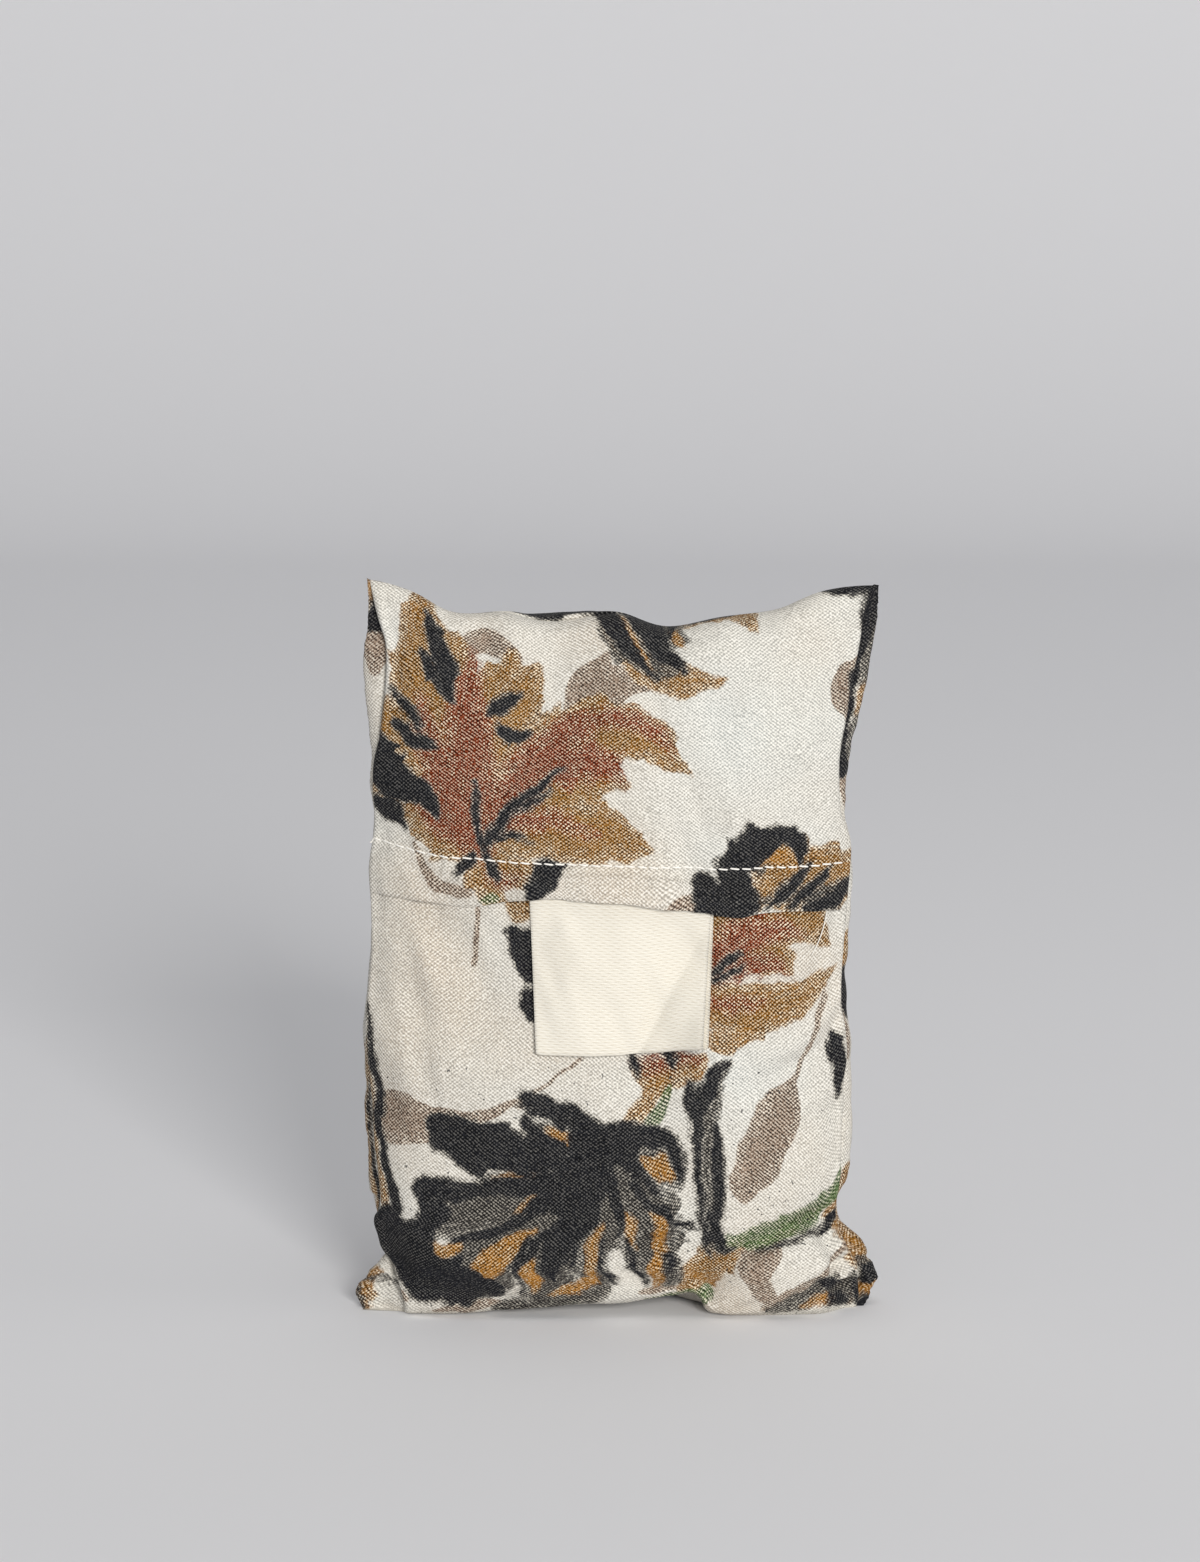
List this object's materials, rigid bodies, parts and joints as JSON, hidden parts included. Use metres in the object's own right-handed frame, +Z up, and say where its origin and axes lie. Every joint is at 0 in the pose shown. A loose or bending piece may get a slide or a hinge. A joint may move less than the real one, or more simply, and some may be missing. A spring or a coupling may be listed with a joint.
{
  "type": "reusable shopping bag",
  "caption": "Foldable shopping bag stuffed into its own leaf-printed cloth pouch: a soft filled form with pinched corners, a stitched hem flap and a bare tape label.",
  "frame": {"origin": "middle of the base, on the surface that the pouch stands on", "axes": "+Z up along the pouch's height, +Y to the back across its thickness, +X to the right as the hem and label are seen"},
  "size_m": [0.1206, 0.0358, 0.1686],
  "materials": {
    "cloth": "plain weave, slightly silky, with a painterly autumn leaf print on cream",
    "tape": "ribbed twill tape, bare"
  },
  "bodies": {
    "root": {"pouch": "cloth", "flap": "cloth", "label": "tape"}
  },
  "joints": []
}
